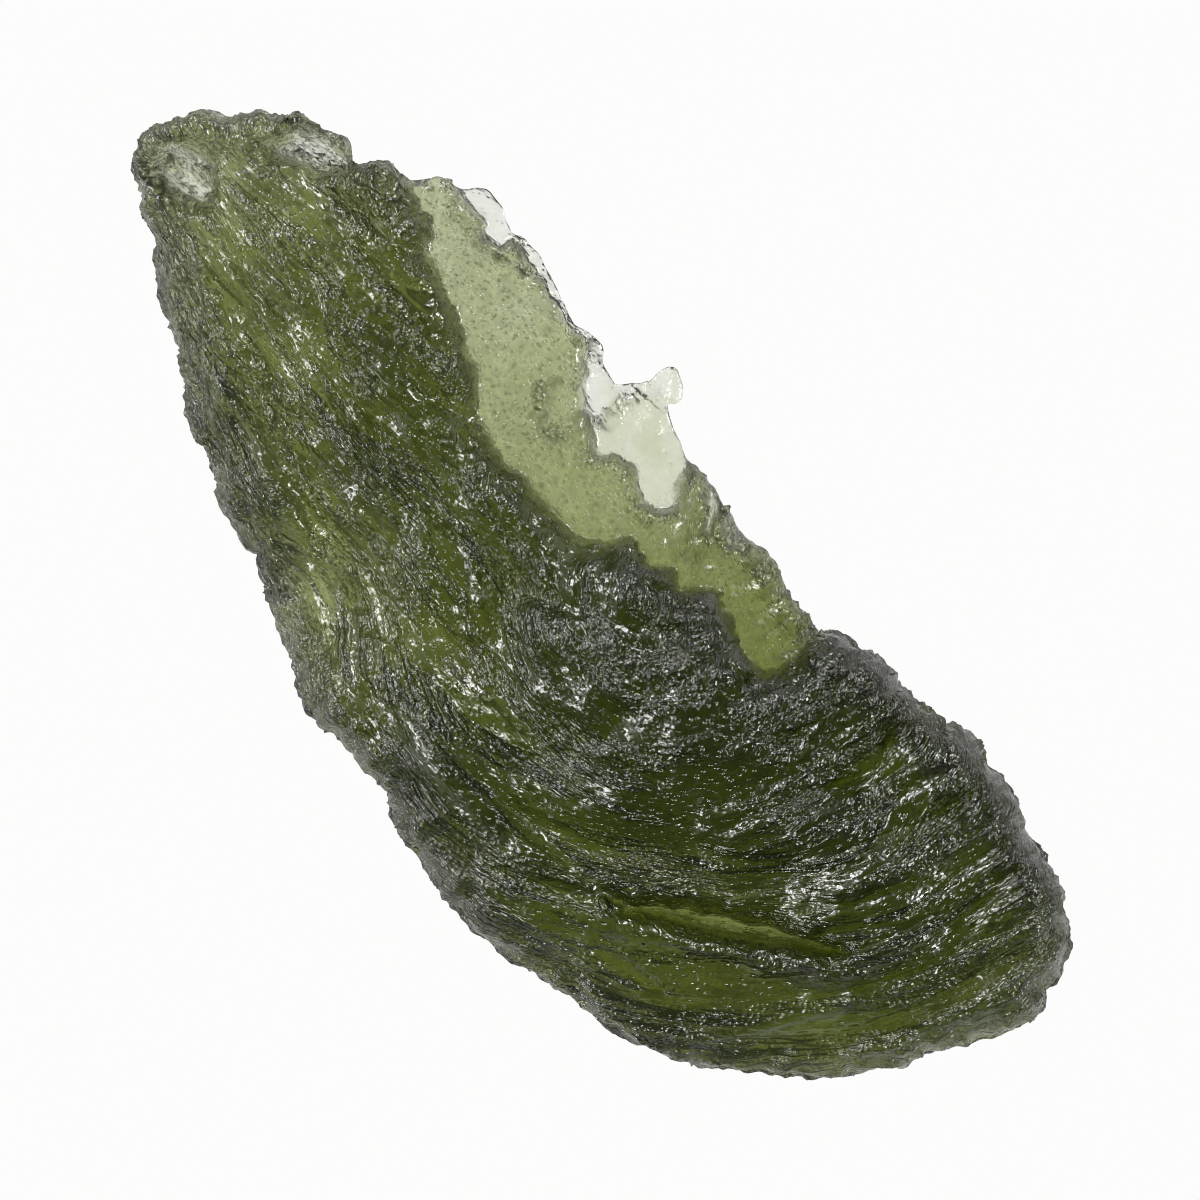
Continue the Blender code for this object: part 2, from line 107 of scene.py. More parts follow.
def inside(points: Array, corners: Path) -> Array:
    """Tests which points are inside a closed shape.

    Args:
        points: Rows of x and y in millimetres.
        corners: The corners of the shape.

    Returns:
        True for each point inside.
    """
    ends = np.array(corners)
    found = np.zeros(len(points), bool)
    x, y = points[:, 0], points[:, 1]
    for (x0, y0), (x1, y1) in zip(ends, np.roll(ends, -1, axis=0)):
        if y0 == y1:
            continue
        crosses = (y0 > y) != (y1 > y)
        found ^= crosses & (x < (x1 - x0) * (y - y0) / (y1 - y0) + x0)
    return found


def depth_inside(points: Array, corners: Path) -> Array:
    """Distance of points in from the edge of a closed shape, negative outside it."""
    gap = distance_to_path(points, corners, closed=True)
    return np.where(inside(points, corners), gap, -gap)


def blend_of(points: Array, spots: Sequence[Spot], reach: float) -> Array:
    """Blends values given at spots, each spot counting most near its own place.

    Args:
        points: Rows of x and y in millimetres.
        spots: Rows of x, y and one or more values.
        reach: How far a spot counts, in millimetres.

    Returns:
        One row of blended values for each point.
    """
    table = np.array(spots)
    gap = points[:, None, :] - table[None, :, :2]
    weight = np.exp(-(gap**2).sum(axis=2) / (2.0 * reach**2)) + LEAST_WEIGHT
    return (weight @ table[:, 2:]) / weight.sum(axis=1, keepdims=True)


def noise_at(along: Array, across: Array, layer: float | Array) -> Array:
    """Smooth noise from -1 to 1, its third coordinate one number or one for each place."""
    layers = np.broadcast_to(layer, along.shape)
    return np.array([noise.noise(Vector(place)) for place in zip(along, across, layers)])


def drift(along: Array, across: Array, size: float, pitches: Point, layer: float) -> Array:
    """Smooth noise with a size in millimetres and a pitch in each direction."""
    return size * noise_at(along * pitches[0], across * pitches[1], layer)


def cells_at(along: Array, across: Array, layer: float | Array) -> tuple[Array, Array]:
    """Distances to the nearest two seeds of a cell pattern.

    Args:
        along: First coordinate of each place.
        across: Second coordinate of each place.
        layer: Third coordinate, one number or one for each place.

    Returns:
        The distance to the nearest seed and to the next nearest.
    """
    layers = np.broadcast_to(layer, along.shape)
    both = np.array([noise.voronoi(Vector(place))[0][:2] for place in zip(along, across, layers)])
    return both[:, 0], both[:, 1]


def placed(name: str, data: bpy.types.ID) -> bpy.types.Object:
    """Puts a mesh, a lamp or a camera in the scene.

    Args:
        name: The name of its object.
        data: The mesh, lamp or camera.

    Returns:
        The new object, at the origin.
    """
    thing = bpy.data.objects.new(name, data)
    bpy.context.scene.collection.objects.link(thing)
    return thing


# The form of the stone


@dataclass(frozen=True)
class Crease:
    """A long ridge or, with a negative height, a hollow of the upper face."""

    path: Path
    height: float
    reach: float

    def relief(self, points: Array) -> Array:
        """Height that the crease adds at each point, in millimetres."""
        return self.height * np.exp(-((distance_to_path(points, self.path) / self.reach) ** 2))


@dataclass(frozen=True)
class Knob:
    """A round bump or, with a negative height, a dent."""

    x: float
    y: float
    height: float
    reach: float

    def relief(self, points: Array) -> Array:
        """Height that the knob adds at each point, in millimetres."""
        away = np.hypot(points[:, 0] - self.x, points[:, 1] - self.y)
        return self.height * np.exp(-((away / self.reach) ** 2))


@dataclass(frozen=True)
class Stretch:
    """A stretch of the upper face along a path, such as a glassy window or a frayed edge."""

    path: Path
    reach: float
    core: float = 0.6

    def share(self, points: Array) -> Array:
        """How far each point belongs to the stretch, from 0 to 1."""
        away = distance_to_path(points, self.path) / self.reach
        return 1.0 - smooth_step(self.core, 1.0, away)


@dataclass(frozen=True)
class Lens:
    """A smooth glassy lens of the upper face that the etching has spared, pointed at both ends."""

    left: float
    left_y: float
    right: float
    right_y: float
    half_width: float
    soft_edge: Span = (0.5, 1.3)

    def share(self, points: Array, jag: Array) -> Array:
        """How glassy the stone is at each point.

        Args:
            points: Rows of x and y in millimetres.
            jag: How far the ragged edge strays at each point, in millimetres.

        Returns:
            A number from 0 to 1 for each point.
        """
        tips = (self.left, self.left_y), (self.right, self.right_y)
        half = 0.5 * math.dist(*tips)
        away = sum(np.hypot(*(points - tip).T) for tip in tips)
        spare = (0.5 * away - half) / (math.hypot(half, self.half_width) - half)
        return 1.0 - smooth_step(*self.soft_edge, spare + jag / self.half_width)


@dataclass(frozen=True)
class Chip:
    """A flake broken off the flange, which leaves it thinner."""

    corners: Path
    left: float
    slope: float = 0.32
    lip: float = 0.15
    lip_reach: float = 0.5

    def thin(self, points: Array, thick: Array, jag: Array) -> Array:
        """Thickness that the flake leaves at each point, from what it was before."""
        return thick + (self.left - thick) * self.share(points, jag)

    def share(self, points: Array, jag: Array) -> Array:
        """How far each point is inside the chip's ragged edge, from 0 to 1."""
        return smooth_step(-self.slope / 2, self.slope / 2, depth_inside(points, self.corners) + jag)

    def frayed(self, points: Array) -> Array:
        """How near each point is to the chip's broken edge, from 0 to 1."""
        away = np.abs(depth_inside(points, self.corners) + self.lip)
        return 1.0 - smooth_step(self.lip, self.lip_reach, away)


@dataclass(frozen=True)
class Plan:
    """The stone seen from above: its outline and the line where the body breaks off."""

    left_end: Path = (
        (-22.4, 2.5), (-22.1, 3.0), (-21.7, 3.9), (-21.5, 4.3), (-21.0, 4.7), (-20.3, 5.0),
        (-19.95, 5.8), (-19.3, 6.1), (-18.8, 6.8), (-18.2, 7.0), (-17.0, 7.2), (-16.2, 7.0),
        (-15.6, 7.4), (-15.2, 7.8), (-14.7, 7.6), (-14.2, 8.0),
    )
    flange_edge: Path = (
        (-13.8, 8.6), (-13.4, 8.85), (-12.8, 9.0), (-12.55, 9.4), (-12.2, 9.7), (-11.4, 9.55),
        (-10.5, 9.15), (-10.0, 9.35), (-9.2, 9.25), (-8.3, 8.95), (-7.3, 8.6), (-6.6, 8.35),
        (-6.0, 8.55), (-5.3, 8.5), (-4.9, 8.05), (-4.3, 7.9), (-4.0, 7.8), (-3.6, 8.3),
        (-3.2, 8.75), (-3.2, 9.3), (-3.05, 9.7), (-2.8, 9.75), (-2.3, 9.5), (-1.9, 9.1),
        (-2.0, 8.85), (-2.3, 8.65), (-1.8, 8.3), (-1.1, 7.95), (-0.3, 7.6), (0.5, 7.65),
        (1.3, 7.6), (2.4, 7.2), (3.5, 7.05), (4.6, 7.0), (5.6, 6.6), (6.9, 6.4), (7.5, 6.2),
    )
    broad_end: Path = (
        (7.8, 6.6), (8.4, 6.9), (9.0, 6.8), (9.5, 7.15), (10.1, 7.1), (10.7, 6.85),
        (11.2, 7.0), (13.0, 7.05), (13.6, 7.35), (14.2, 7.45), (15.1, 7.1), (16.7, 6.95),
        (17.0, 6.6), (17.6, 6.3), (18.4, 6.25), (20.1, 5.7), (20.8, 5.1), (21.6, 4.45),
        (21.95, 3.6), (22.0, 2.8), (22.35, 2.5), (22.45, 1.8), (21.9, 0.5), (21.2, -0.7),
        (20.6, -1.7), (20.35, -2.7), (19.6, -3.4), (18.9, -4.4),
    )
    lower_edge: Path = (
        (18.1, -5.2), (17.2, -6.0), (16.2, -6.8), (15.2, -7.55), (14.2, -8.1), (13.0, -8.6),
        (11.8, -8.8), (10.2, -9.0), (8.5, -9.3), (7.2, -9.55), (5.8, -9.65), (4.0, -9.55),
        (3.0, -9.25), (1.8, -9.1), (1.0, -8.6), (0.4, -8.1), (-0.2, -8.05), (-0.9, -8.25),
        (-2.3, -8.05), (-3.3, -8.15), (-4.6, -7.85), (-5.3, -7.4), (-6.5, -6.95),
        (-7.6, -6.4), (-8.3, -5.9), (-9.0, -5.45), (-9.5, -5.55), (-10.9, -5.15),
        (-12.0, -4.5), (-13.0, -4.05), (-13.7, -3.9), (-14.6, -3.3), (-15.4, -2.6),
        (-16.2, -2.0), (-17.5, -1.4), (-18.4, -0.8), (-19.3, 0.0), (-20.3, 0.5),
        (-21.3, 1.2), (-22.1, 1.85),
    )
    cliff_foot: Path = (
        (-14.2, 7.7), (-13.5, 7.3), (-12.95, 7.45), (-12.4, 7.0), (-12.1, 6.5), (-11.1, 6.1),
        (-10.3, 5.85), (-9.5, 5.35), (-8.7, 5.0), (-7.9, 4.6), (-7.3, 4.0), (-6.6, 3.4),
        (-5.6, 3.1), (-4.9, 2.9), (-4.1, 3.2), (-3.2, 3.0), (-2.0, 2.8), (-1.0, 3.0),
        (-0.3, 3.5), (0.2, 4.25), (1.1, 4.1), (1.7, 4.1), (2.1, 4.4), (2.7, 4.1),
        (3.3, 4.5), (3.8, 5.1), (4.3, 4.8), (5.1, 4.4), (6.0, 4.05), (6.9, 4.05),
        (7.4, 4.5), (7.55, 5.3), (7.5, 6.2),
    )
    beyond_flange: Path = ((7.5, 12.0), (-15.5, 12.0), (-15.0, 8.2))

    @property
    def outline(self) -> Path:
        """The whole closed outline."""
        return self.left_end + self.flange_edge + self.broad_end + self.lower_edge

    @property
    def flange(self) -> Path:
        """The closed shape that holds all that lies beyond the foot of the cliff."""
        return self.cliff_foot + self.beyond_flange


@dataclass(frozen=True)
class Flow:
    """The melt-flow lines, which bend round a point on the right and leave the left tip as a fan."""

    centre: Point = (0.0, 8.0)
    tip_y: float = 2.6
    fan_length: float = 38.0
    arc_radius: float = 9.0
    wander: float = 0.9
    wander_pitches: Point = (0.13, 0.2)

    def coordinates(self, points: Array) -> tuple[Array, Array]:
        """Each point's place along and across the flow lines.

        Args:
            points: Rows of x and y in millimetres.

        Returns:
            The place along the lines and the place across them, in millimetres.
        """
        x, y = points[:, 0], points[:, 1]
        drop = self.centre[1] - y
        turned = self.centre[1] - np.hypot(x, drop)
        fanned = self.tip_y + (y - self.tip_y) / (1.0 + np.minimum(x, 0.0) / self.fan_length)
        along = np.where(x > 0.0, np.arctan2(x, drop) * self.arc_radius, x)
        return along, np.where(x > 0.0, turned, fanned)

    def bent(self, points: Array, layer: float) -> tuple[Array, Array]:
        """Each point's place along and across lines that wander, in a pattern picked by the layer."""
        along, across = self.coordinates(points)
        return along, across + drift(along, across, self.wander, self.wander_pitches, layer)


@dataclass(frozen=True)
class Ridges:
    """Rounded hollows with sharp crests between them, drawn out along the flow lines."""

    height: float
    across: float
    along: float
    layer: float
    level: float = 0.28

    def relief(self, along: Array, across: Array) -> Array:
        """Height of the ridges at each place in the flow, in millimetres."""
        waves = noise_at(along * self.along, across * self.across, self.layer)
        return self.height * (self.level - np.abs(waves))


@dataclass(frozen=True)
class Scallops:
    """Shallow etched bowls that meet in sharp edges, drawn out along the flow lines."""

    height: float
    across: float
    along: float
    level: float = 0.35
    edge_drop: float = 0.25
    edge_reach: float = 0.3

    def relief(self, along: Array, across: Array, up: Array) -> Array:
        """Height of the scallops at each place in the flow, in millimetres."""
        near, far = cells_at(along * self.along, across * self.across, up * self.across)
        return self.height * (near - self.level - self.edge_drop * np.minimum(far - near, self.edge_reach))


@dataclass
class StoneShard:
    """The stone, its one and only piece.

    Lengths are in millimetres and pitches in waves to the millimetre. A span gives where a share
    leaves 0 and where it reaches 1. Spots and stations are rows of x, y and the values there.
    """

    name: str = "stone"
    cell: float = 0.135
    slab_height: float = 4.0
    least_thickness: float = 0.12
    streaks: Drift = (0.16, (0.4, 1.2), 0.0)
    ripple: Drift = (0.12, (0.55, 0.4), 0.0)
    ripple_thickness: Span = (0.5, 1.4)
    body_thickness: Span = (1.8, 3.6)
    relief_from_rim: Span = (-0.4, 1.2)
    spared_relief: float = 0.8
    bowl_centre: Point = (2.6, -1.0)
    bowl_reach: Point = (22.0, 9.6)
    bowl_rise: Point = (3.2, 2.3)
    flat_depth: float = 0.2
    flat_stretch: Point = (0.8, 1.25)
    flat_ring: Span = (4.5, 8.5)
    under_layer: float = 40.0
    under_flange_share: float = 0.35
    under_flange_edge: Span = (0.3, -0.6)
    cliff_jag: float = 0.8
    foot_edge: Span = (0.15, -0.1)
    along_drift: Drift = (0.8, (0.4, 0.6), 8.0)
    across_drift: Drift = (0.6, (0.5, 0.7), 5.0)
    scallop_thickness: Span = (1.2, 3.6)
    flange_scallops: float = 0.2
    body_scallops: float = 0.6
    spared_scallops: float = 0.85
    clear_of_table: Span = (0.1, 0.8)
    teeth_from_rim: Span = (0.3, 1.6)
    teeth_level: float = 0.3
    teeth_thickness: float = 1.2
    flow_shear: float = 0.7
    flow_unit: float = 100.0
    fray_share: float = 0.9
    inner_from_rim: Span = (0.5, 1.9)
    plan: Plan = Plan()
    flow: Flow = Flow()
    fine_flow: Flow = Flow(fan_length=55.0)
    body_spots: Sequence[Spot] = (
        (-21.6, 3.6, 1.7), (-20.2, 2.5, 0.9), (-20.4, 4.3, 2.1), (-19.4, 1.0, 1.6),
        (-18.4, 3.0, 3.1), (-17.9, 5.8, 2.0), (-16.0, 4.6, 3.3), (-16.6, 1.4, 3.0),
        (-13.4, 1.8, 3.8), (-13.6, -1.6, 2.9), (-12.4, 5.0, 4.2), (-9.2, 3.2, 4.7),
        (-10.0, -2.4, 3.7), (-7.0, 0.2, 4.9), (-6.4, -4.9, 1.9), (-3.2, -1.0, 5.3),
        (-2.6, 1.6, 5.8), (-2.2, -5.0, 4.6), (1.0, -4.4, 5.8), (2.5, 0.2, 7.4),
        (4.4, 2.9, 7.5), (6.2, -1.0, 8.0), (5.0, -6.4, 5.3), (10.0, 0.6, 8.0),
        (10.2, 4.4, 7.3), (9.6, -4.4, 4.9), (10.0, -6.8, 5.0), (13.2, -2.6, 4.7),
        (14.2, 2.2, 6.8), (13.6, 5.8, 5.9), (14.4, -6.0, 4.4), (17.0, 4.2, 5.9),
        (17.4, -0.4, 6.1), (16.8, -4.0, 4.6), (20.4, 2.0, 4.4), (19.4, -2.0, 4.3),
    )
    flange_spots: Sequence[Spot] = (
        (-13.6, 8.1, 0.9), (-12.0, 7.4, 1.4), (-9.0, 6.6, 1.45), (-8.0, 8.1, 1.1),
        (-6.0, 5.0, 1.75), (-4.9, 6.3, 1.4), (-3.0, 4.2, 2.0), (0.0, 4.9, 2.3),
        (-0.6, 6.6, 1.2), (2.5, 5.2, 2.5), (4.0, 6.6, 2.2), (5.3, 5.3, 2.9),
        (6.8, 4.9, 3.2),
    )
    spot_reach: float = 1.8
    flange_reach: float = 1.71
    chips: dict[str, Chip] = field(default_factory=lambda: {
        "clear_chip": Chip([
            (-13.1, 8.9), (-12.2, 8.55), (-11.5, 8.5), (-11.0, 8.3), (-10.4, 8.5),
            (-10.2, 9.2), (-10.8, 10.2), (-13.5, 10.2)], 0.12),
        "edge_strip": Chip([
            (-10.2, 9.1), (-9.4, 8.75), (-8.4, 8.55), (-7.2, 8.25), (-6.1, 8.1),
            (-5.0, 8.1), (-5.0, 9.8), (-10.2, 9.9)], 0.2),
        "pale_window": Chip([
            (-5.8, 8.1), (-5.1, 7.2), (-4.2, 6.4), (-3.5, 5.9), (-2.8, 5.4), (-2.1, 5.9),
            (-1.3, 5.85), (-0.4, 5.4), (0.3, 5.5), (0.6, 6.2), (0.2, 7.2), (0.0, 8.2),
            (-2.2, 10.4), (-5.2, 9.9)], 0.55, 0.5),
        "white_wedge": Chip([
            (-5.6, 8.1), (-4.8, 7.1), (-4.0, 6.4), (-3.5, 6.6), (-3.7, 7.4), (-3.3, 8.3),
            (-3.6, 9.0), (-5.4, 8.8)], 0.2),
        "hook": Chip([(-3.5, 8.75), (-2.3, 8.75), (-1.6, 9.0), (-2.0, 10.2), (-3.6, 10.2)], 0.25),
        "right_sliver": Chip([
            (0.6, 7.5), (1.5, 6.8), (2.0, 6.0), (2.2, 6.4), (1.7, 8.0), (0.6, 8.0)], 0.6),
        "right_chip": Chip([(2.0, 7.0), (2.6, 6.6), (3.6, 6.6), (3.8, 7.8), (2.0, 7.9)], 0.8),
    })
    cliff_ledges: Sequence[Spot] = (
        (0.0, 0.24, 0.66, 0.0), (0.25, 0.3, 0.18, 13.0), (0.6, 0.5, 0.16, 31.0))
    clear_chips: tuple[str, ...] = ("clear_chip", "edge_strip", "white_wedge", "hook", "pale_window")
    chip_jags: Sequence[Point] = ((1.1, 0.22), (2.9, 0.16))
    scars: dict[str, Chip] = field(default_factory=lambda: {
        "tip_window": Chip([
            (-21.7, 1.9), (-21.6, 3.0), (-20.9, 3.6), (-19.9, 3.5), (-19.2, 3.0), (-18.9, 2.3),
            (-19.3, 1.8), (-20.4, 1.4)], 0.5, 0.7),
        "white_scar": Chip([
            (-19.0, 5.2), (-18.7, 6.3), (-17.8, 7.2), (-16.5, 7.2), (-16.2, 6.5), (-16.9, 5.9),
            (-17.8, 5.5), (-18.4, 5.0)], 0.35, 0.6),
        "bright_channel": Chip([
            (8.3, -5.6), (9.25, -5.0), (10.0, -4.2), (11.1, -3.45), (12.4, -2.65), (13.2, -2.1),
            (14.25, -1.7), (16.0, -1.2), (15.5, -1.7), (14.5, -2.3), (14.2, -2.8), (13.3, -3.4),
            (12.4, -4.05), (11.7, -4.6), (10.5, -5.15), (9.5, -5.6)], 3.2, 0.9),
    })
    rim_stations: Sequence[Spot] = (
        (-22.0, 2.4, 0.36, 0.8, 0.12, 0.6), (-18.0, -1.0, 0.68, 1.9, 0.12, 0.8),
        (-14.0, -3.5, 0.7, 2.1, 0.12, 0.8), (-9.0, -5.3, 0.62, 2.0, 0.12, 0.8),
        (-3.0, -7.9, 0.58, 2.4, 0.14, 0.9), (5.0, -9.4, 0.62, 3.0, 0.15, 1.0),
        (12.0, -8.6, 0.7, 3.2, 0.15, 1.0), (17.0, -6.0, 0.72, 2.8, 0.15, 1.0),
        (21.0, -1.0, 0.62, 2.0, 0.14, 0.9), (22.0, 3.0, 0.6, 1.5, 0.13, 0.8),
        (19.0, 5.8, 0.50, 1.1, 0.13, 0.8), (13.0, 7.2, 0.48, 1.0, 0.13, 0.8),
        (9.3, 6.9, 0.46, 1.0, 0.13, 0.8), (6.9, 6.4, 0.38, 0.7, 0.12, 0.6),
        (1.0, 7.6, 0.30, 0.5, 0.12, 0.5), (-4.0, 7.9, 0.22, 0.4, 0.12, 0.4),
        (-11.0, 9.3, 0.22, 0.4, 0.12, 0.4), (-14.4, 7.7, 0.38, 0.6, 0.12, 0.5),
        (-18.2, 6.9, 0.44, 0.9, 0.12, 0.6), (-21.3, 4.5, 0.40, 0.8, 0.12, 0.6),
    )
    rim_reach: float = 1.7
    creases: dict[str, Crease] = field(default_factory=lambda: {
        "trough": Crease([(-2.0, -3.0), (3.0, -2.6), (7.0, -1.4), (10.0, 0.8), (12.2, 3.8)], -0.75, 2.0),
        "lower_ridge": Crease([
            (0.0, -6.8), (5.0, -6.4), (9.6, -5.2), (12.3, -4.4), (14.4, -3.0), (16.4, -1.2),
            (17.6, 1.2)], 0.62, 0.55),
        "upper_groove": Crease([
            (-14.0, 1.1), (-9.0, 0.5), (-4.0, 0.0), (0.0, 0.6), (3.4, 2.6)], -0.35, 0.6),
        "left_swell": Crease([(-17.5, 3.3), (-13.0, 3.6), (-9.6, 2.4), (-6.6, 1.4)], 0.22, 0.8),
        "left_rim": Crease([(-19.0, 0.9), (-15.0, -1.2), (-10.0, -3.4), (-8.0, -4.1)], 0.3, 0.5),
        "lower_gully": Crease([
            (-5.2, -5.9), (-2.4, -6.6), (-0.6, -7.1), (1.6, -7.5), (4.0, -7.7)], -0.4, 0.6),
        "outer_rib": Crease([(15.4, -6.6), (17.4, -4.2), (18.9, -1.8), (19.9, 1.4)], -0.35, 0.6),
        "fan_rib_a": Crease([(11.2, -0.6), (13.4, 2.4), (14.2, 5.4)], 0.3, 0.42),
        "fan_rib_b": Crease([(14.8, 0.4), (16.6, 3.0), (17.2, 5.6)], -0.3, 0.42),
        "fan_rib_c": Crease([(18.4, -0.6), (19.2, 2.0), (19.2, 5.2)], 0.26, 0.4),
        "tip_step": Crease([(-19.3, 1.8), (-19.0, 2.8), (-19.2, 4.2)], 0.22, 0.35),
    })
    knobs: dict[str, Knob] = field(default_factory=lambda: {
        "thumb_knob": Knob(-6.5, -4.9, 0.5, 0.85),
        "knob_cleft": Knob(-5.3, -4.4, -0.45, 0.35),
        "knob_notch": Knob(-7.9, -4.2, -0.4, 0.45),
        "rim_scar": Knob(11.8, 5.6, -0.7, 0.6),
        "left_scar": Knob(-17.8, 6.5, -0.5, 0.6),
        "upper_bay": Knob(-6.2, 1.4, -0.3, 0.8),
        "long_bay": Knob(-6.0, -1.4, -0.25, 1.0),
        "dark_pit": Knob(4.4, -0.7, -0.4, 0.7),
        "cliff_crest_left": Knob(-13.0, 6.6, 0.35, 0.7),
        "cliff_crest_right": Knob(3.7, 3.9, 0.35, 0.8),
        "broad_crest": Knob(14.2, 6.2, 0.35, 0.8),
    })
    windows: Sequence[Spot] = (
        (-21.7, 2.9, -20.2, 3.3, 0.32), (-21.0, 2.1, -19.3, 2.5, 0.38), (-18.7, 6.2, -16.6, 6.8, 0.5),
        (-18.0, 4.3, -14.2, 4.8, 0.6), (-13.4, 3.8, -11.0, 3.5, 0.5), (-11.6, 2.9, -8.4, 3.1, 0.45),
        (-8.4, 2.6, -6.2, 2.4, 0.6), (-9.8, 1.5, -7.0, 1.1, 0.4), (-16.8, 2.2, -13.8, 1.7, 0.45),
        (-15.0, 0.3, -12.0, -0.4, 0.4), (-5.0, -0.5, -2.6, -1.1, 0.45), (-7.2, -4.3, -5.9, -5.2, 0.6),
        (-10.2, -1.5, -7.6, -2.1, 0.4), (16.4, 3.2, 16.9, 5.2, 0.3), (17.9, 4.2, 18.3, 5.4, 0.3),
        (1.6, -6.5, 5.0, -6.8, 0.4), (-4.0, -6.7, -0.8, -7.4, 0.4), (15.0, 0.0, 15.8, 2.6, 0.3),
        (3.2, -0.8, 5.8, -0.5, 0.45), (8.0, 0.3, 9.8, 1.8, 0.35), (12.6, 0.2, 13.6, 2.4, 0.3),
        (0.2, -3.3, 3.0, -3.5, 0.35), (5.2, -4.0, 7.6, -3.2, 0.3), (16.2, -1.0, 17.4, 2.6, 0.25),
        (3.0, -5.8, 8.0, -5.8, 0.3), (9.4, -7.3, 12.4, -6.6, 0.35), (-12.6, -2.0, -10.6, -2.8, 0.3),
        (8.6, -5.3, 12.4, -3.4, 0.45), (10.4, -4.5, 14.6, -2.0, 0.5), (12.8, -3.2, 16.0, -1.1, 0.3),
        (6.8, -6.0, 10.2, -4.9, 0.25), (4.6, -5.2, 8.2, -4.6, 0.22), (14.6, -1.4, 17.0, 1.2, 0.22),
    )
    frayed: Sequence[Stretch] = (
        Stretch([(-5.2, 7.5), (-5.7, 6.8), (-5.85, 5.9), (-5.4, 5.2), (-4.6, 4.9), (-4.0, 5.4)], 0.35),
        Stretch([(0.9, 7.4), (2.1, 6.1), (2.2, 5.2)], 0.45),
        Stretch([(2.6, 6.9), (4.6, 6.6), (7.0, 6.1)], 0.45),
    )
    lined: Sequence[Stretch] = (
        Stretch([(-21.5, 1.0), (-17.0, -1.6), (-12.0, -3.9), (-8.0, -5.4)], 1.5),
        Stretch([(-11.0, 0.3), (-7.0, -0.2), (-3.0, -0.4)], 0.8),
        Stretch([(-5.0, -5.7), (-2.0, -6.4), (0.6, -7.4), (4.0, -7.9)], 0.9),
        Stretch([(-2.0, -5.2), (4.0, -4.0), (12.0, -1.0)], 1.3),
        Stretch([(1.0, -6.0), (7.0, -5.6), (10.0, -5.0)], 1.0),
        Stretch([(16.5, 0.0), (18.5, 3.0), (18.6, 5.0)], 1.6), Stretch([(13.4, 0.5), (14.0, 4.0)], 0.9),
        Stretch([(6.0, -8.4), (13.0, -7.4), (17.0, -4.5)], 1.3),
    )
    under_dents: dict[str, Knob | Crease] = field(default_factory=lambda: {
        "under_left": Knob(-12.0, 0.5, 0.45, 2.2),
        "under_right": Knob(14.5, 1.5, 0.5, 2.4),
        "under_rim": Knob(8.5, -6.6, 0.4, 1.6),
        "under_flange": Knob(-6.0, 5.2, 0.3, 1.6),
        "under_channel": Crease([(9.2, -5.0), (12.0, -3.5), (14.8, -1.9)], 1.0, 1.5),
    })
    upper_ridges: Sequence[Ridges] = (
        Ridges(0.42, 0.42, 0.14, 9.0), Ridges(0.3, 0.85, 0.3, 18.0), Ridges(0.16, 1.9, 0.6, 27.0),
    )
    under_ridges: Sequence[Ridges] = (
        Ridges(0.7, 0.36, 0.1, 49.0), Ridges(0.45, 0.8, 0.25, 58.0), Ridges(0.25, 1.8, 0.5, 67.0),
    )
    scallops: Sequence[Scallops] = (
        Scallops(0.36, 0.9, 0.4), Scallops(0.24, 1.8, 0.8), Scallops(0.08, 3.2, 1.6),
    )
    rim_teeth: Sequence[Point] = ((0.9, 0.34), (1.7, 0.2), (3.6, 0.08))

    def build(self) -> bpy.types.Object:
        """Makes the stone's mesh and puts it in the scene.

        Returns:
            The stone's object.
        """
        slab = self.flat_slab()
        mesh = self.evaluated(slab)
        bpy.data.objects.remove(slab)
        places = np.empty(len(mesh.vertices) * 3)
        mesh.vertices.foreach_get("co", places)
        places = places.reshape(-1, 3)
        flat = places.copy()
        places = self.raised(places)
        mesh.vertices.foreach_set("co", places.ravel())
        mesh.update()
        places = self.etched(mesh, places, flat)
        places[:, 2] = np.maximum(places[:, 2], 0.0)
        self.keep_flow(mesh, flat)
        middle = 0.5 * (places.min(axis=0) + places.max(axis=0))
        middle[2] = 0.0
        mesh.vertices.foreach_set("co", ((places - middle) * MM).ravel())
        mesh.update()
        for face in mesh.polygons:
            face.use_smooth = True
        return placed(self.name, mesh)

    def flat_slab(self) -> bpy.types.Object:
        """Makes a flat slab of the outline.

        Returns:
            The slab, which its modifier cuts into an even grid.
        """
        mesh = bpy.data.meshes.new(self.name)
        shape = bmesh.new()
        rim = [shape.verts.new((x, y, 0.0)) for x, y in self.plan.outline]
        floor = shape.faces.new(rim)
        raised = bmesh.ops.extrude_face_region(shape, geom=[floor])
        top = [item for item in raised["geom"] if isinstance(item, bmesh.types.BMVert)]
        bmesh.ops.translate(shape, verts=top, vec=(0.0, 0.0, self.slab_height))
        bmesh.ops.recalc_face_normals(shape, faces=shape.faces)
        shape.to_mesh(mesh)
        shape.free()
        slab = placed("slab", mesh)
        remesh = slab.modifiers.new("even_grid", "REMESH")
        remesh.mode = "VOXEL"
        remesh.voxel_size = self.cell
        return slab

    def evaluated(self, thing: bpy.types.Object) -> bpy.types.Mesh:
        """Applies the modifiers of an object.

        Args:
            thing: The object with its modifiers.

        Returns:
            A new mesh.
        """
        graph = bpy.context.evaluated_depsgraph_get()
        mesh = bpy.data.meshes.new_from_object(thing.evaluated_get(graph))
        mesh.name = self.name
        return mesh

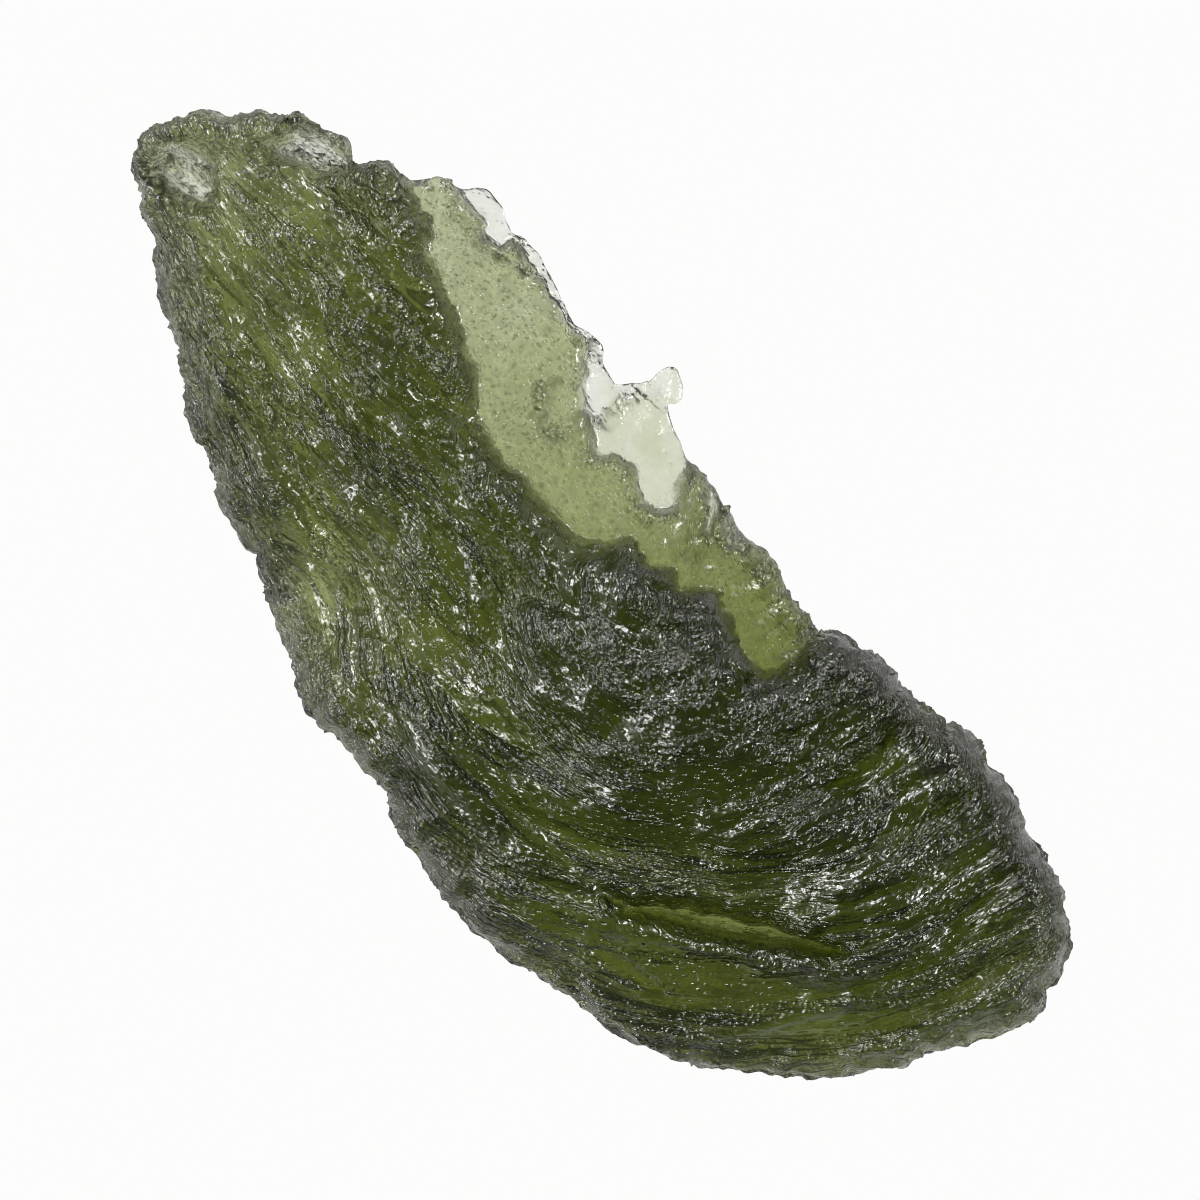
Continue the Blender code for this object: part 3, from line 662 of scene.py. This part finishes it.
    def thickness(self, points: Array) -> Array:
        """Thickness of the stone away from its rim.

        Args:
            points: Rows of x and y in millimetres.

        Returns:
            The thickness over each point in millimetres.
        """
        body = blend_of(points, self.body_spots, self.spot_reach)[:, 0]
        flange = blend_of(points, self.flange_spots, self.flange_reach)[:, 0]
        jag = self.jag(points)
        for scar in self.scars.values():
            body = scar.thin(points, body, jag)
        for chip in self.chips.values():
            flange = chip.thin(points, flange, jag)
        fallen = sum(
            drop * smooth_step(-width, 0.0, self.past_cliff(points, layer) + setback)
            for setback, width, drop, layer in self.cliff_ledges)
        return body + (flange - body) * fallen

    def past_cliff(self, points: Array, layer: float = 0.0) -> Array:
        """How far each point is past the ragged foot of the cliff, in millimetres."""
        return depth_inside(points, self.plan.flange) + self.cliff_jag * self.jag(points, layer)

    def on_body(self, points: Array) -> Array:
        """How far each point is on the body's side of the cliff's foot, from 0 to 1."""
        return smooth_step(*self.foot_edge, self.past_cliff(points))

    def jag(self, points: Array, layer: float = 0.0) -> Array:
        """How far ragged edges stray at each point, in millimetres."""
        return sum(
            size * noise_at(points[:, 0] * pitch, points[:, 1] * pitch, pitch + layer)
            for pitch, size in self.chip_jags)

    def glassiness(self, points: Array) -> Array:
        """How far the etching has spared each point, from 0 to 1."""
        jag = self.jag(points)
        return np.max([Lens(*window).share(points, jag) for window in self.windows], axis=0)

    def clear_share(self, points: Array) -> Array:
        """How far each point is inside the clearest chips, from 0 to 1."""
        jag = self.jag(points)
        return np.max([self.chips[name].share(points, jag) for name in self.clear_chips], axis=0)

    def underside(self, points: Array) -> Array:
        """Height of the convex lower face.

        Args:
            points: Rows of x and y in millimetres.

        Returns:
            The height at each point, below zero over the resting spot.
        """
        gap = (points - self.bowl_centre) / self.bowl_reach
        height = gap[:, 0] ** 2 * self.bowl_rise[0] + gap[:, 1] ** 2 * self.bowl_rise[1] - self.flat_depth
        for dent in self.under_dents.values():
            height += dent.relief(points)
        away = np.hypot(*((points - self.bowl_centre) * self.flat_stretch).T)
        body = smooth_step(*self.under_flange_edge, depth_inside(points, self.plan.flange))
        clear = smooth_step(*self.flat_ring, away)
        clear *= self.under_flange_share + (1.0 - self.under_flange_share) * body
        along, across = self.flow.bent(points, self.under_layer)
        for ridges in self.under_ridges:
            height += ridges.relief(along, across) * clear
        return height

    def upper_relief(self, points: Array) -> Array:
        """Grooves, ridges and knobs of the upper face.

        Args:
            points: Rows of x and y in millimetres.

        Returns:
            The height that they add at each point.
        """
        relief = np.zeros(len(points))
        for form in [*self.creases.values(), *self.knobs.values()]:
            relief += form.relief(points)
        along, across = self.flow.bent(points, 0.0)
        uneven = 1.0 - self.spared_relief * self.glassiness(points)
        for ridges in self.upper_ridges:
            relief += ridges.relief(along, across) * uneven
        return relief

    def raised(self, places: Array) -> Array:
        """Moves each point of the slab to its share of the way between the two faces.

        Args:
            places: Rows of x, y and z in the slab.

        Returns:
            The places in the stone.
        """
        share = np.clip(places[:, 2] / self.slab_height, 0.0, 1.0)
        points = places[:, :2]
        rim_top, rim_low = self.rim_falls(points)
        from_rim = np.maximum(depth_inside(points, self.plan.outline), 0.0)
        thick = self.thickness(points)
        low = self.underside(points)
        body_share = smooth_step(*self.body_thickness, thick)
        relief = self.upper_relief(points) * body_share * smooth_step(*self.relief_from_rim, from_rim)
        x, y = points.T
        ripple = drift(x, y, *self.ripple) * smooth_step(*self.ripple_thickness, thick)
        relief += ripple * (1.0 - body_share)
        relief += drift(x - y, x + y, *self.streaks) * self.clear_share(points)
        full = np.maximum(thick + relief, self.least_thickness)
        high = low + full * (1.0 - rim_top)
        low = low + full * rim_low
        return np.column_stack([points, low + (high - low) * share])

    def rim_falls(self, points: Array) -> tuple[Array, Array]:
        """How far the rounded rim pulls the two faces together.

        Args:
            points: Rows of x and y in millimetres.

        Returns:
            The shares of the thickness that the rim takes off above and below each point.
        """
        rim = blend_of(points, self.rim_stations, self.rim_reach)
        from_rim = np.maximum(depth_inside(points, self.plan.outline), 0.0)
        top, low = (
            rim[:, column] * (1.0 - self.quarter_round(from_rim / rim[:, column + 1])) for column in (0, 2))
        return top, low

    def etched(self, mesh: bpy.types.Mesh, places: Array, flat: Array) -> Array:
        """Presses the etched scallops into the whole surface.

        Args:
            mesh: The stone's mesh, which gives the way that each point faces.
            places: The places of its points in millimetres.
            flat: The places that they had in the slab.

        Returns:
            The new places.
        """
        facing = np.empty(len(places) * 3)
        mesh.vertices.foreach_get("normal", facing)
        facing = facing.reshape(-1, 3)
        points = flat[:, :2]
        along, across = self.flow.coordinates(points)
        depth = self.scallops[0].relief(along, across, places[:, 2])
        along = along + drift(along, across, *self.along_drift)
        across = across + drift(along, across, *self.across_drift)
        for scallops in self.scallops[1:]:
            depth += scallops.relief(along, across, places[:, 2])
        thick = self.thickness(points)
        least = self.flange_scallops + self.body_scallops * self.on_body(points)
        depth *= least + (1.0 - least) * smooth_step(*self.scallop_thickness, thick)
        on_top = places[:, 2] > 0.5 * thick
        depth *= 1.0 - self.spared_scallops * self.glassiness(points) * on_top
        near_rim = 1.0 - smooth_step(*self.teeth_from_rim, depth_inside(points, self.plan.outline))
        near_rim *= smooth_step(0.0, self.teeth_thickness, thick)
        for pitch, height in self.rim_teeth:
            teeth = self.teeth_level - np.abs(noise_at(*(places * pitch).T))
            depth += near_rim * height * teeth
        depth *= smooth_step(*self.clear_of_table, places[:, 2])
        return places + facing * depth[:, None]

    def keep_flow(self, mesh: bpy.types.Mesh, flat: Array) -> None:
        """Keeps the flow coordinates and the kinds of surface on the mesh as UV maps, for the finish.

        Args:
            mesh: The stone's mesh.
            flat: The places that its points had in the slab.
        """
        points = flat[:, :2]
        along, across = self.fine_flow.bent(points, 0.0)
        up = self.thickness(points) * np.clip(flat[:, 2] / self.slab_height, 0.0, 1.0)
        up *= 1.0 - self.rim_falls(points)[0]
        place = np.column_stack([along - self.flow_shear * up, across + up])
        glassy = self.glassiness(points) * (flat[:, 2] > 0.5 * self.slab_height)
        on_body = self.on_body(points)
        frays = [form.frayed(points) for form in self.chips.values()]
        frays += [form.share(points) for form in self.frayed]
        rough = np.maximum(on_body, self.fray_share * np.max(frays, axis=0))
        from_rim = depth_inside(points, self.plan.outline)
        rough += on_body * (1.0 - smooth_step(*self.inner_from_rim, from_rim))
        lined = np.max([form.share(points) for form in self.lined], axis=0)
        clear = self.clear_share(points)
        corners = np.empty(len(mesh.loops), dtype=np.int32)
        mesh.loops.foreach_get("vertex_index", corners)
        for name, both in {
            "flow": place / self.flow_unit + 0.5,
            "zones": np.column_stack([rough, glassy]),
            "marks": np.column_stack([lined, clear]),
        }.items():
            layer = mesh.uv_layers.new(name=name)
            layer.data.foreach_set("uv", both[corners].ravel().astype(np.float32))

    @staticmethod
    def quarter_round(share: Array) -> Array:
        """Quarter circle from 0 at the rim to 1 where the face is level."""
        left = 1.0 - np.clip(share, 0.0, 1.0)
        return np.sqrt(1.0 - left * left)

    def dress(self, stone: bpy.types.Object, finish: "BottleGreenGlass") -> None:
        """Gives the stone its glass.

        Args:
            stone: The stone's object.
            finish: The glass.
        """
        stone.data.materials.clear()
        stone.data.materials.append(finish.material())
        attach(stone, "root")
        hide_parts("moldavite")


# The glass


class Blend(Enum):
    """Ways to join two grey patterns."""

    ADD = "ADD"
    MULTIPLY = "MULTIPLY"
    SUBTRACT = "SUBTRACT"
    ABSOLUTE = "ABSOLUTE"
    MAXIMUM = "MAXIMUM"
    MINIMUM = "MINIMUM"


@dataclass
class Bench:
    """Lays out shader nodes in one tree."""

    tree: bpy.types.NodeTree

    def node(self, kind: str, feeds: dict | None = None, **settings: object) -> bpy.types.Node:
        """Adds a node.

        Args:
            kind: The node's type name.
            feeds: What goes into its inputs.
            settings: Properties of the node.

        Returns:
            The node.
        """
        node = self.tree.nodes.new(kind)
        for key, value in settings.items():
            setattr(node, key, value)
        self.feed(node, feeds or {})
        return node

    def feed(self, node: bpy.types.Node, feeds: dict) -> None:
        """Feeds a node's inputs.

        Args:
            node: The node.
            feeds: What goes into its inputs, a socket to wire or a plain value to set.
        """
        for key, value in feeds.items():
            if isinstance(value, Socket):
                self.tree.links.new(value, node.inputs[key])
            else:
                node.inputs[key].default_value = value

    def uv(self, name: str) -> Socket:
        """Coordinates that a UV map holds."""
        return self.node("ShaderNodeUVMap", uv_map=name).outputs["UV"]

    def stretched(self, place: Socket, scale: Point) -> Socket:
        """Stretches coordinates in a plane."""
        feeds = {"Vector": place, "Scale": (*scale, 1.0)}
        return self.node("ShaderNodeMapping", feeds).outputs["Vector"]

    def clouds(self, place: Socket, detail: float) -> Socket:
        """Soft noise in a plane, with a number of finer layers as its detail."""
        feeds = {"Vector": place, "Scale": 1.0, "Detail": detail}
        return self.node("ShaderNodeTexNoise", feeds, noise_dimensions="2D").outputs["Fac"]

    def grains(self, place: Socket, scale: float) -> Socket:
        """Soft noise in space, with the given number of grains in a metre."""
        feeds = {"Vector": place, "Scale": scale, "Detail": 0.0}
        return self.node("ShaderNodeTexNoise", feeds).outputs["Fac"]

    def cells(self, place: Socket) -> Socket:
        """Distance to the seeds of a cell pattern in a plane."""
        feeds = {"Vector": place, "Scale": 1.0}
        return self.node("ShaderNodeTexVoronoi", feeds, voronoi_dimensions="2D").outputs["Distance"]

    def total(self, parts: dict[Socket, float]) -> Socket:
        """Weighted sum of grey values.

        Args:
            parts: The values, each with its weight.

        Returns:
            The sum.
        """
        found = None
        for value, weight in parts.items():
            part = self.join(Blend.MULTIPLY, value, weight)
            found = part if found is None else self.join(Blend.ADD, found, part)
        return found

    def ramp(self, value: Socket, low: float, high: float, start: float = 0.0, stop: float = 1.0) -> Socket:
        """Maps a range of a grey value to another range, along an S-curve."""
        feeds = {"Value": value, "From Min": low, "From Max": high, "To Min": start, "To Max": stop}
        return self.node("ShaderNodeMapRange", feeds, interpolation_type="SMOOTHSTEP").outputs["Result"]

    def join(self, way: Blend, first: Socket, second: Socket | float = 0.0) -> Socket:
        """Joins two grey values, the second a socket or a plain number."""
        node = self.node("ShaderNodeMath", {0: first, 1: second}, operation=way.value)
        return node.outputs["Value"]


@dataclass(frozen=True)
class EtchedSurface:
    """The fine texture that etching leaves in the glass, drawn out along the flow lines.

    Scales are in cells to 100 mm along and across the flow, counts in grains to the metre
    and depths in millimetres.
    """

    bowl_scale: Point = (260.0, 520.0)
    dimple_scale: Point = (560.0, 800.0)
    crease_scale: Point = (40.0, 190.0)
    spared_scale: Point = (30.0, 90.0)
    pit_scale: Point = (340.0, 340.0)
    grain_count: float = 7000.0
    mottle_count: float = 2300.0
    bowl_depth: float = 0.08
    dimple_depth: float = 0.035
    groove_depth: float = -0.05
    grain_depth: float = 0.05
    shallow_grain_depth: float = 0.015
    pit_depth: float = 0.05
    spared_share: float = 0.8
    spared_at_rim: float = 0.1
    least_etched: float = 0.06
    least_lined: float = 0.35
    # Darkness of the painted shade along the bowls' crests.
    crest_shade: float = 0.9
    speck_dark: float = 0.8
    speck_on_flange: float = 0.3
    mottle_dark: float = 0.24
    murk_in_chips: float = 0.35
    inner_zone: Span = (1.0, 1.8)
    spared_waves: Span = (0.46, 0.56)
    crest_cells: Span = (0.42, 0.72)
    groove_waves: Span = (0.0, 0.12)
    # Where the painted shade lines of the flow creases fall.
    crease_shade_waves: Span = (0.03, 0.11)
    pit_cells: Span = (0.0, 0.3)
    speck_grains: Span = (0.5, 0.62)
    mottle_grains: Span = (0.35, 0.65)

    def marks(self, bench: Bench, name: str) -> tuple[Socket, Socket]:
        """Reads the two values that the stone keeps in one of its UV maps."""
        parts = bench.node("ShaderNodeSeparateXYZ", {"Vector": bench.uv(name)})
        return parts.outputs["X"], parts.outputs["Y"]

    def lay(self, bench: Bench) -> tuple[Socket, Socket, Socket]:
        """Lays out the texture.

        Args:
            bench: The bench of the material's tree.

        Returns:
            The height in millimetres, how far the surface is etched, and how far painted shade along the
            creases and the bowls' crests, with the mottle and dark specks, darkens the glass.
        """
        flow = bench.uv("flow")
        place = bench.node("ShaderNodeTexCoord").outputs["Object"]
        zone, glassy = self.marks(bench, "zones")
        lined, clear = self.marks(bench, "marks")
        rough = bench.join(Blend.MINIMUM, zone, 1.0)
        inner = bench.ramp(zone, *self.inner_zone, self.spared_share, self.spared_at_rim)
        lined = bench.ramp(lined, 0.0, 1.0, self.least_lined, 1.0)
        murky = bench.ramp(clear, 0.0, 1.0, 1.0, self.murk_in_chips)

        spared = bench.clouds(bench.stretched(flow, self.spared_scale), 0.0)
        spared = bench.ramp(spared, *self.spared_waves)
        spared = bench.join(Blend.MAXIMUM, bench.join(Blend.MULTIPLY, spared, inner), glassy)
        etched = bench.join(Blend.MULTIPLY, bench.ramp(spared, 0.0, 1.0, 1.0, self.least_etched), rough)

        near = bench.cells(bench.stretched(flow, self.bowl_scale))
        bowls = bench.join(Blend.MULTIPLY, near, near)
        # Painted shade: the glass is darkened along the sharp crests between the bowls, where steep facets
        # turn light away.
        crests = bench.ramp(near, *self.crest_cells, 0.0, self.crest_shade)
        near = bench.cells(bench.stretched(flow, self.dimple_scale))
        dimples = bench.join(Blend.MULTIPLY, near, near)
        waves = bench.clouds(bench.stretched(flow, self.crease_scale), 1.0)
        creases = bench.join(Blend.ABSOLUTE, bench.join(Blend.SUBTRACT, waves, 0.5))
        grooves = bench.join(Blend.MULTIPLY, bench.ramp(creases, *self.groove_waves, 1.0, 0.0), lined)
        grain = bench.grains(place, self.grain_count)
        pits = bench.ramp(bench.cells(bench.stretched(flow, self.pit_scale)), *self.pit_cells)

        deep = bench.total({
            bowls: self.bowl_depth, dimples: self.dimple_depth, grooves: self.groove_depth,
            grain: self.grain_depth})
        shallow = bench.total({grain: self.shallow_grain_depth, pits: self.pit_depth})
        height = bench.join(
            Blend.ADD, bench.join(Blend.MULTIPLY, deep, etched), bench.join(Blend.MULTIPLY, shallow, murky))

        specks = bench.join(
            Blend.MULTIPLY, bench.ramp(grain, *self.speck_grains, 0.0, self.speck_dark),
            bench.ramp(etched, 0.0, 1.0, self.speck_on_flange, 1.0))
        mottle = bench.grains(place, self.mottle_count)
        mottle = bench.ramp(mottle, *self.mottle_grains, 0.0, self.mottle_dark)
        mottle = bench.join(Blend.MULTIPLY, bench.join(Blend.MAXIMUM, mottle, specks), murky)
        # Painted shade: dark lines along the flow creases and the bowls' crests, only where the surface is
        # etched; the random mottle and dark specks join them.
        painted_shade_and_mottle = bench.join(Blend.MULTIPLY, bench.ramp(creases, *self.crease_shade_waves, 1.0, 0.0), lined)
        painted_shade_and_mottle = bench.join(Blend.MULTIPLY, bench.join(Blend.MAXIMUM, painted_shade_and_mottle, crests), etched)
        return height, etched, bench.join(Blend.MAXIMUM, painted_shade_and_mottle, mottle)


@dataclass(frozen=True)
class BottleGreenGlass:
    """Etched bottle-green glass: pale where thin, nearly black green where thick."""

    tint: Colour = (1.0, 1.0, 1.0)
    # Colour of the painted shade along creases and crests, also of the random mottle and dark specks.
    painted_shade_and_mottle_tint: Colour = (0.05, 0.06, 0.045)
    ior: float = 1.49
    absorption_colour: Colour = (0.487, 0.54, 0.1)
    absorption_density: float = 920.0
    smooth: float = 0.28
    rough: float = 0.3
    etched_range: Span = (0.1, 1.0)
    surface: EtchedSurface = EtchedSurface()

    def material(self) -> bpy.types.Material:
        """Makes the material.

        Returns:
            The glass with its etched surface and its colour in the depth.
        """
        glass = bpy.data.materials.new("moldavite_glass")
        glass.use_nodes = True
        bench = Bench(glass.node_tree)
        height, etched, painted_shade_and_mottle = self.surface.lay(bench)
        # Base colour: white glass darkened by painted shade along creases and crests, and by random mottle
        # and specks.
        tint = bench.node(
            "ShaderNodeMix", {"A": (*self.tint, 1.0), "B": (*self.painted_shade_and_mottle_tint, 1.0), "Factor": painted_shade_and_mottle},
            data_type="RGBA")
        bump = bench.node("ShaderNodeBump", {"Strength": 1.0, "Distance": MM, "Height": height})
        absorb = bench.node("ShaderNodeVolumeAbsorption", {
            "Color": (*self.absorption_colour, 1.0), "Density": self.absorption_density})
        bench.feed(glass.node_tree.nodes["Principled BSDF"], {
            "Metallic": 0.0, "IOR": self.ior, "Transmission Weight": 1.0,
            "Roughness": bench.ramp(etched, *self.etched_range, self.smooth, self.rough),
            "Base Color": tint.outputs["Result"], "Normal": bump.outputs["Normal"]})
        bench.feed(glass.node_tree.nodes["Material Output"], {"Volume": absorb.outputs["Volume"]})
        return glass


# The table and the light


@dataclass(frozen=True)
class Lamp:
    """A soft round lamp aimed at the stone, placed as seen in the photo: to the right, up and above."""

    name: str
    right: float
    up: float
    height: float
    size: float
    glow: float


@dataclass
class LightTable:
    """A pale glowing table, soft lamps round it and the camera above it."""

    floor_size: float = 1.6
    floor_glow: float = 0.975
    floor_tint: Colour = (1.0, 1.0, 0.995, 1.0)
    floor_gap: float = 0.05
    view_centre: Point = (0.85, 1.96)
    view_turn: float = 44.0
    view_width: float = 43.117
    lens: float = 300.0
    film_width: float = 36.0
    middle_height: float = 4.5
    sky_tint: Colour = (0.95, 0.98, 1.0, 1.0)
    sky_rise: Span = (0.0, 0.5)
    horizon: float = 0.25
    zenith: float = 0.02
    longest_path: int = 5
    pixel_blur: float = 1.0
    windows: Sequence[Lamp] = (
        Lamp("window_left", -0.38, 0.30, 0.27, 0.15, 66.0),
        Lamp("window_top", 0.15, 0.46, 0.27, 0.14, 64.0),
        Lamp("window_right", 0.42, -0.25, 0.25, 0.14, 78.0),
        Lamp("window_low", -0.45, -0.12, 0.22, 0.16, 44.0),
    )

    def build(self) -> None:
        """Makes the floor, the lamps, the sky and the camera."""
        self.floor()
        self.lamps()
        self.world()
        self.camera()

    def floor(self) -> None:
        """Makes the glowing floor."""
        mesh = bpy.data.meshes.new("table")
        shape = bmesh.new()
        bmesh.ops.create_grid(shape, x_segments=1, y_segments=1, size=self.floor_size / 2)
        bmesh.ops.translate(shape, verts=shape.verts, vec=(0.0, 0.0, -self.floor_gap * MM))
        shape.to_mesh(mesh)
        shape.free()
        table = placed("table", mesh)
        paper = bpy.data.materials.new("table_glow")
        paper.use_nodes = True
        Bench(paper.node_tree).feed(paper.node_tree.nodes["Principled BSDF"], {
            "Base Color": (0.0, 0.0, 0.0, 1.0), "Specular IOR Level": 0.0, "Roughness": 1.0,
            "Emission Color": self.floor_tint, "Emission Strength": self.floor_glow})
        paper.cycles.emission_sampling = "NONE"
        mesh.materials.append(paper)

    def lamps(self) -> None:
        """Makes the soft lamps."""
        turn = math.radians(self.view_turn)
        right = Vector((math.cos(turn), math.sin(turn), 0.0))
        up = Vector((-math.sin(turn), math.cos(turn), 0.0))
        for window in self.windows:
            lamp = bpy.data.lights.new(window.name, "AREA")
            lamp.shape = "DISK"
            lamp.size = window.size
            lamp.energy = window.glow * math.pi**2 * (window.size / 2) ** 2
            thing = placed(window.name, lamp)
            thing.location = right * window.right + up * window.up + Vector((0.0, 0.0, window.height))
            thing.rotation_euler = (-thing.location).to_track_quat("-Z", "Y").to_euler()

    def world(self) -> None:
        """Makes the sky, pale near the table's edge and dark overhead where the camera hangs."""
        sky = bpy.data.worlds.new("sky")
        sky.use_nodes = True
        sky.cycles.sampling_method = "NONE"
        bench = Bench(sky.node_tree)
        way = bench.node("ShaderNodeTexCoord").outputs["Generated"]
        up = bench.node("ShaderNodeSeparateXYZ", {"Vector": way}).outputs["Z"]
        glow = bench.ramp(up, *self.sky_rise, self.horizon, self.zenith)
        bench.feed(sky.node_tree.nodes["Background"], {"Color": self.sky_tint, "Strength": glow})
        scene = bpy.context.scene
        scene.world = sky
        scene.view_settings.view_transform = "Standard"
        scene.cycles.max_bounces = self.longest_path
        scene.cycles.filter_width = self.pixel_blur
        scene.cycles.use_light_tree = False

    def camera(self) -> None:
        """Makes the camera that looks straight down, turned as the photograph is."""
        lens = bpy.data.cameras.new("camera")
        lens.lens = self.lens
        lens.sensor_width = self.film_width
        camera = placed("camera", lens)
        distance = self.view_width * self.lens / self.film_width + self.middle_height
        camera.location = (self.view_centre[0] * MM, self.view_centre[1] * MM, distance * MM)
        camera.rotation_euler = (0.0, 0.0, math.radians(self.view_turn))
        bpy.context.scene.camera = camera


def main() -> None:
    """Builds the stone and its light table."""
    logging.basicConfig(level=logging.INFO, format="%(message)s")
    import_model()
    shard = StoneShard()
    stone = shard.build()
    shard.dress(stone, BottleGreenGlass())
    LOG.info("%s: %d faces", stone.name, len(stone.data.polygons))
    LightTable().build()


if __name__ == "__main__":
    main()
